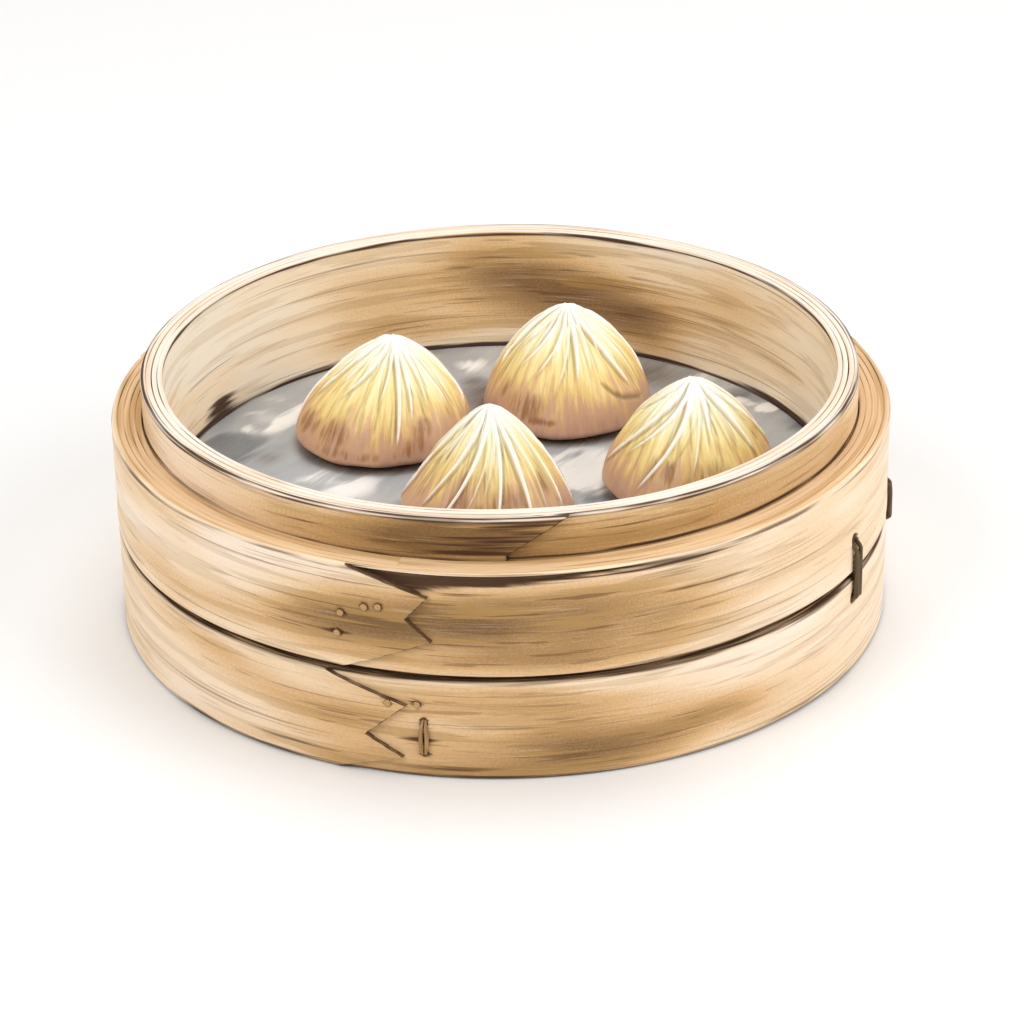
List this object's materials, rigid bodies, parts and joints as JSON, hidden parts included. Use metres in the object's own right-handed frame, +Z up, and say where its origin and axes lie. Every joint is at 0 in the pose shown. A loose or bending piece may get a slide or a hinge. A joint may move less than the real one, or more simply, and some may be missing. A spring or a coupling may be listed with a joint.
{
  "type": "xiaolongbao soup dumplings in a bamboo steamer basket",
  "caption": "Pleated soup dumplings resting on a thin metal liner in a round bamboo steamer basket, which holds them for steaming and serving.",
  "frame": {"origin": "on the surface that the basket stands on, under the middle of the whole box; the hoop's axis is 0.8 mm to -X and 1.1 mm to -Y of it, because stitches stand out at +X and +Y", "axes": "+Z up; -Y is the front, where the strip ends show; +X is to the right seen from the front"},
  "size_m": [0.2016, 0.201, 0.066],
  "materials": {
    "bamboo_band": "bare bamboo strip with long grain, satin",
    "bamboo_hoop": "bare bamboo strip, pale cut edges, satin",
    "bamboo_floor": "split bamboo, a little browned by steam",
    "plate": "thin polished sheet, wet",
    "dough": "steamed wheat dough, white at the pleats, translucent brown low down, moist",
    "cane_dark": "dark brown split cane",
    "cane_pale": "brown split cane",
    "peg": "round bamboo peg, end grain showing"
  },
  "bodies": {
    "root": {"upper_band": "bamboo_band", "lower_band": "bamboo_band", "hoop_outer_ply": "bamboo_hoop", "hoop_inner_ply": "bamboo_hoop", "slat_1": "bamboo_floor", "slat_2": "bamboo_floor", "slat_3": "bamboo_floor", "slat_4": "bamboo_floor", "slat_5": "bamboo_floor", "slat_6": "bamboo_floor", "slat_7": "bamboo_floor", "slat_8": "bamboo_floor", "slat_9": "bamboo_floor", "slat_10": "bamboo_floor", "slat_11": "bamboo_floor", "batten_1": "bamboo_floor", "batten_2": "bamboo_floor", "batten_3": "bamboo_floor", "liner_plate": "plate", "dumpling_left": "dough", "dumpling_back": "dough", "dumpling_front": "dough", "dumpling_right": "dough", "stitch_right_a": "cane_dark", "stitch_right_b": "cane_dark", "stitch_side_a": "cane_dark", "stitch_side_b": "cane_dark", "stitch_back_a": "cane_dark", "stitch_back_b": "cane_dark", "stitch_back_left_a": "cane_dark", "stitch_back_left_b": "cane_dark", "stitch_front_a": "cane_pale", "stitch_front_b": "cane_pale", "peg_upper_1": "peg", "peg_upper_2": "peg", "peg_upper_3": "peg", "peg_upper_4": "peg", "peg_lower_1": "peg", "peg_lower_2": "peg"}
  },
  "joints": []
}
